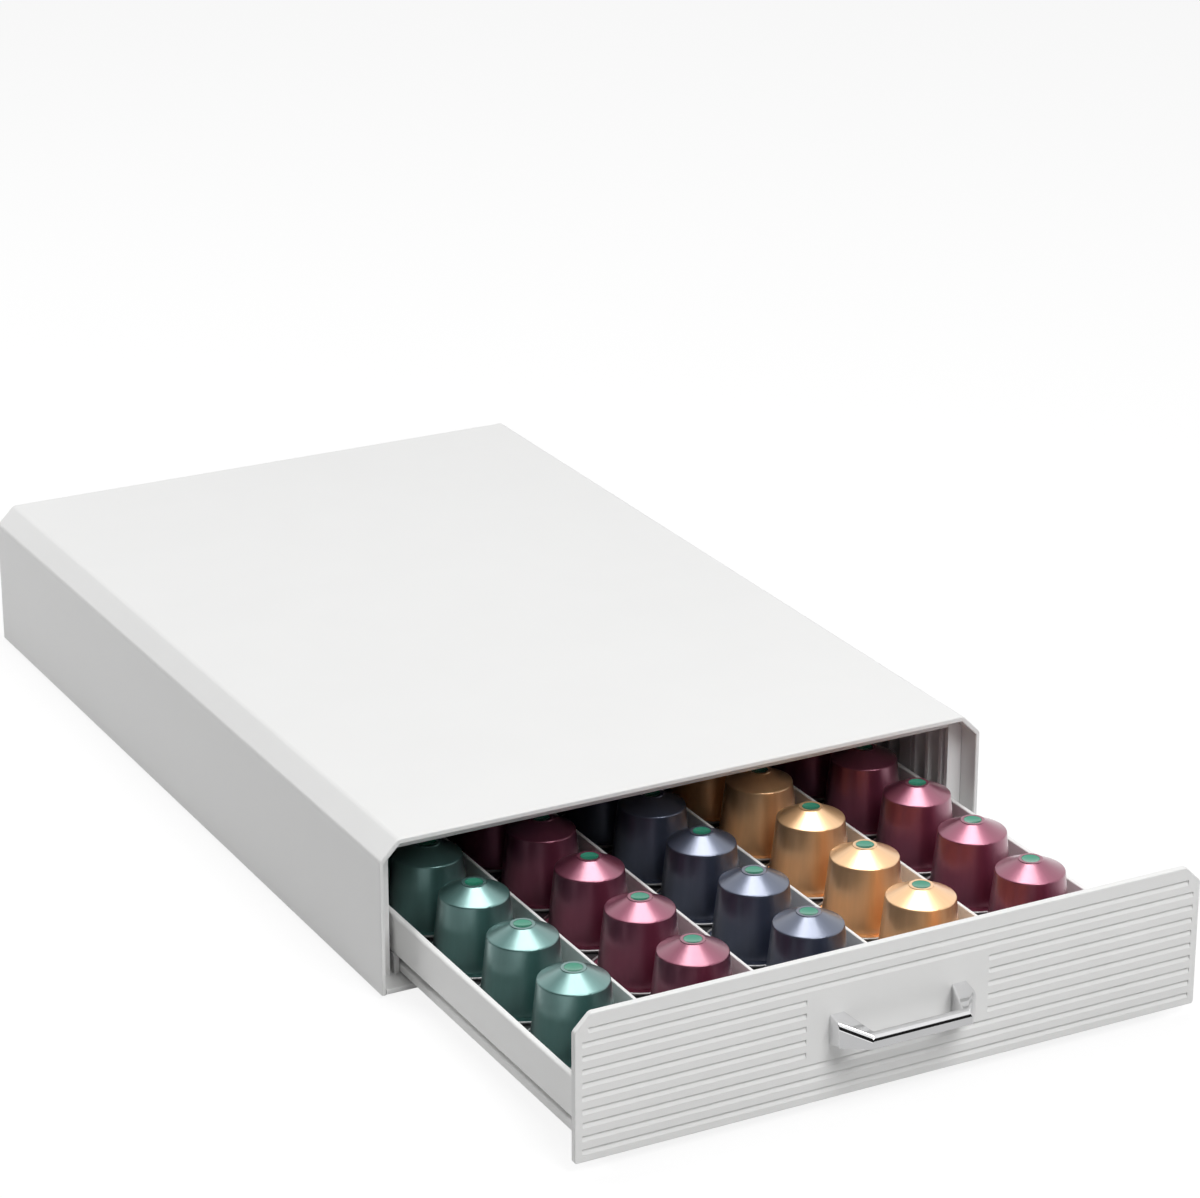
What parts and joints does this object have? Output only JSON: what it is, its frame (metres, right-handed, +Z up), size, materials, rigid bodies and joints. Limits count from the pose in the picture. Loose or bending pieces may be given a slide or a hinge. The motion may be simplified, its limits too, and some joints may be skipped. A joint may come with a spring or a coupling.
{
  "type": "coffee capsule dispenser",
  "caption": "Low rectangular cabinet with cut top edges and a wide sliding drawer, whose lanes hold coffee capsules upside down; strong enough to stand a coffee machine on.",
  "frame": {"origin": "on the table, under the middle of the whole part with its drawer open as it rests", "axes": "+X to the right seen from the front, +Y to the rear (the drawer opens towards -Y), +Z up"},
  "size_m": [0.245, 0.536, 0.0599],
  "materials": {
    "cabinet_plastic": "satin",
    "panel_plastic": "satin",
    "drawer_plastic": "satin",
    "floor_plastic": "satin",
    "rubber": "matte",
    "screw_steel": "satin",
    "handle_chrome": "polished",
    "teal_cup": "satin",
    "burgundy_cup": "satin",
    "navy_cup": "satin",
    "gold_cup": "satin",
    "capsule_lid": "satin"
  },
  "bodies": {
    "cabinet": {"cabinet_shell": "cabinet_plastic", "base_plate": "cabinet_plastic", "back_panel": "cabinet_plastic", "mouth_lintel": "cabinet_plastic", "left_rib_wall": "cabinet_plastic", "right_rib_wall": "cabinet_plastic", "left_rail": "cabinet_plastic", "right_rail": "cabinet_plastic", "left_drawer_stop": "cabinet_plastic", "right_drawer_stop": "cabinet_plastic", "front_left_foot": "rubber", "front_right_foot": "rubber", "rear_left_foot": "rubber", "rear_right_foot": "rubber", "left_bumper": "rubber", "right_bumper": "rubber", "base_screws": "screw_steel", "back_screws": "screw_steel"},
    "drawer": {"drawer_floor": "floor_plastic", "left_skirt": "drawer_plastic", "right_skirt": "drawer_plastic", "left_drawer_side": "drawer_plastic", "right_drawer_side": "drawer_plastic", "drawer_back": "drawer_plastic", "lane_divider_1": "drawer_plastic", "lane_divider_2": "drawer_plastic", "lane_divider_3": "drawer_plastic", "lane_divider_4": "drawer_plastic", "front_panel": "panel_plastic", "pull_handle": "handle_chrome", "handle_screws": "screw_steel", "lane_1_capsule_cups": "teal_cup", "lane_2_capsule_cups": "burgundy_cup", "lane_3_capsule_cups": "navy_cup", "lane_4_capsule_cups": "gold_cup", "lane_5_capsule_cups": "burgundy_cup", "lane_1_capsule_lids": "capsule_lid", "lane_2_capsule_lids": "capsule_lid", "lane_3_capsule_lids": "capsule_lid", "lane_4_capsule_lids": "capsule_lid", "lane_5_capsule_lids": "capsule_lid"}
  },
  "joints": [
    {"name": "drawer_slide", "type": "slide", "parent": "cabinet", "child": "drawer", "axis": [0, -1, 0], "range_m": [-0.1406, 0.1094]}
  ]
}
